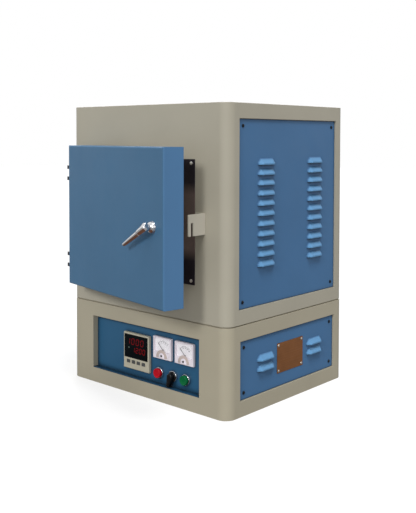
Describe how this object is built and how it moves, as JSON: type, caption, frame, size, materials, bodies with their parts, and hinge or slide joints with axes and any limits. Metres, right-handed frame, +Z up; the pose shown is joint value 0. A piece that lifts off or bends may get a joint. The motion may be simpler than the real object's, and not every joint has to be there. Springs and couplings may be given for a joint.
{
  "type": "muffle furnace",
  "caption": "Floor-standing cabinet-style bench furnace: insulated heated chamber behind a side-hung latching door, above a base with temperature controller, meters and switches.",
  "frame": {"origin": "centre of the base's underside, on the surface it stands on", "axes": "+Z up, -Y towards the front with the door and control panel, +X to the right as seen from the front"},
  "size_m": [0.5894, 0.6948, 0.76],
  "materials": {
    "casing_paint": "satin beige enamel with a fine texture",
    "panel_paint": "satin blue enamel",
    "frame_enamel": "glossy near-black enamel",
    "sheet_steel": "plain sheet, satin",
    "hinge_steel": "blackened, satin",
    "chrome_trim": "polished",
    "screw_steel": "zinc, satin",
    "refractory": "fired, matte",
    "insulation_board": "fibrous board, matte",
    "rope_gasket": "woven ceramic fibre, matte",
    "heating_wire": "oxidised resistance wire, matte",
    "terminal_brass": "plain",
    "plate_metal": "satin copper-brown, blank",
    "rivet_metal": "domed, bright",
    "case_plastic": "beige-grey, matte",
    "smoked_window": "smoked red-black, glossy",
    "black_plastic": "black, satin",
    "clear_window": "clear, polished",
    "pointer_paint": "black lacquer",
    "red_plastic": "red, glossy",
    "green_plastic": "green, glossy",
    "module_aluminium": "finned extrusion, satin",
    "core_steel": "varnished laminations"
  },
  "bodies": {
    "cabinet": {"base_casing": "casing_paint", "base_tray": "sheet_steel", "cable_gland": "black_plastic", "case_rails": "sheet_steel", "control_panel": "panel_paint", "controller_case": "case_plastic", "controller_window": "smoked_window", "deck_plate": "sheet_steel", "front_bolts": "hinge_steel", "hearth_plate": "refractory", "heater_terminals": "terminal_brass", "heating_coils": "heating_wire", "hinge_brackets": "hinge_steel", "hinge_pins": "hinge_steel", "inner_case": "sheet_steel", "insulation_rear": "insulation_board", "insulation_sides": "insulation_board", "insulation_slabs": "insulation_board", "latch_keeper": "casing_paint", "lower_panel_left": "panel_paint", "lower_panel_right": "panel_paint", "meter_cases": "black_plastic", "meter_windows": "clear_window", "mouth_frame": "frame_enamel", "mouth_frame_screws": "screw_steel", "muffle": "refractory", "nameplate": "plate_metal", "nameplate_rivets": "rivet_metal", "panel_screws": "screw_steel", "power_module": "module_aluminium", "rear_panel": "casing_paint", "rear_panel_lower": "casing_paint", "side_panel_left": "panel_paint", "side_panel_right": "panel_paint", "switch_bezels": "chrome_trim", "switch_blocks": "black_plastic", "terminal_block": "black_plastic", "thermocouple": "refractory", "top_cover": "casing_paint", "transformer": "core_steel", "upper_casing": "casing_paint"},
    "door": {"door_shell": "panel_paint", "door_back_plate": "sheet_steel", "door_insulation": "insulation_board", "door_gasket": "rope_gasket", "door_screws": "screw_steel", "hinge_lugs": "sheet_steel", "handle_rosette": "chrome_trim"},
    "latch": {"handle_lever": "chrome_trim", "latch_spindle": "hinge_steel", "latch_arm": "hinge_steel"},
    "stop_button": {"stop_button": "red_plastic"},
    "start_button": {"start_button": "green_plastic"},
    "selector": {"selector_knob": "black_plastic"},
    "key_1": {"controller_key_1": "case_plastic"},
    "key_2": {"controller_key_2": "case_plastic"},
    "key_3": {"controller_key_3": "case_plastic"},
    "key_4": {"controller_key_4": "case_plastic"},
    "ammeter_needle": {"ammeter_pointer": "pointer_paint"},
    "voltmeter_needle": {"voltmeter_pointer": "pointer_paint"}
  },
  "joints": [
    {"name": "door_hinge", "type": "hinge", "parent": "cabinet", "child": "door", "pos_m": [-0.234, -0.294, 0.46125], "axis": [0, 0, -1], "range_deg": [-10.5, 99.5]},
    {"name": "latch_turn", "type": "hinge", "parent": "door", "child": "latch", "pos_m": [0.18068, -0.39425, 0.469], "axis": [-0.1822, -0.9833, 0], "range_deg": [-28, 62]},
    {"name": "stop_press", "type": "slide", "parent": "cabinet", "child": "stop_button", "axis": [0, 1, 0], "range_m": [0, 0.004], "stiffness_N_per_m": 600},
    {"name": "start_press", "type": "slide", "parent": "cabinet", "child": "start_button", "axis": [0, 1, 0], "range_m": [0, 0.004], "stiffness_N_per_m": 600},
    {"name": "selector_turn", "type": "hinge", "parent": "cabinet", "child": "selector", "pos_m": [0.0955, -0.2362, 0.0695], "axis": [0, -1, 0], "range_deg": [-45, 45]},
    {"name": "key_1_press", "type": "slide", "parent": "cabinet", "child": "key_1", "axis": [0, 1, 0], "range_m": [0, 0.0008], "stiffness_N_per_m": 300},
    {"name": "key_2_press", "type": "slide", "parent": "cabinet", "child": "key_2", "axis": [0, 1, 0], "range_m": [0, 0.0008], "stiffness_N_per_m": 300},
    {"name": "key_3_press", "type": "slide", "parent": "cabinet", "child": "key_3", "axis": [0, 1, 0], "range_m": [0, 0.0008], "stiffness_N_per_m": 300},
    {"name": "key_4_press", "type": "slide", "parent": "cabinet", "child": "key_4", "axis": [0, 1, 0], "range_m": [0, 0.0008], "stiffness_N_per_m": 300},
    {"name": "ammeter_needle_swing", "type": "hinge", "parent": "cabinet", "child": "ammeter_needle", "pos_m": [0.061, -0.2317, 0.13], "axis": [0, 1, 0], "range_deg": [0, 90], "stiffness_Nm_per_rad": 0.0004},
    {"name": "voltmeter_needle_swing", "type": "hinge", "parent": "cabinet", "child": "voltmeter_needle", "pos_m": [0.1385, -0.2317, 0.13], "axis": [0, 1, 0], "range_deg": [0, 90], "stiffness_Nm_per_rad": 0.0004}
  ]
}
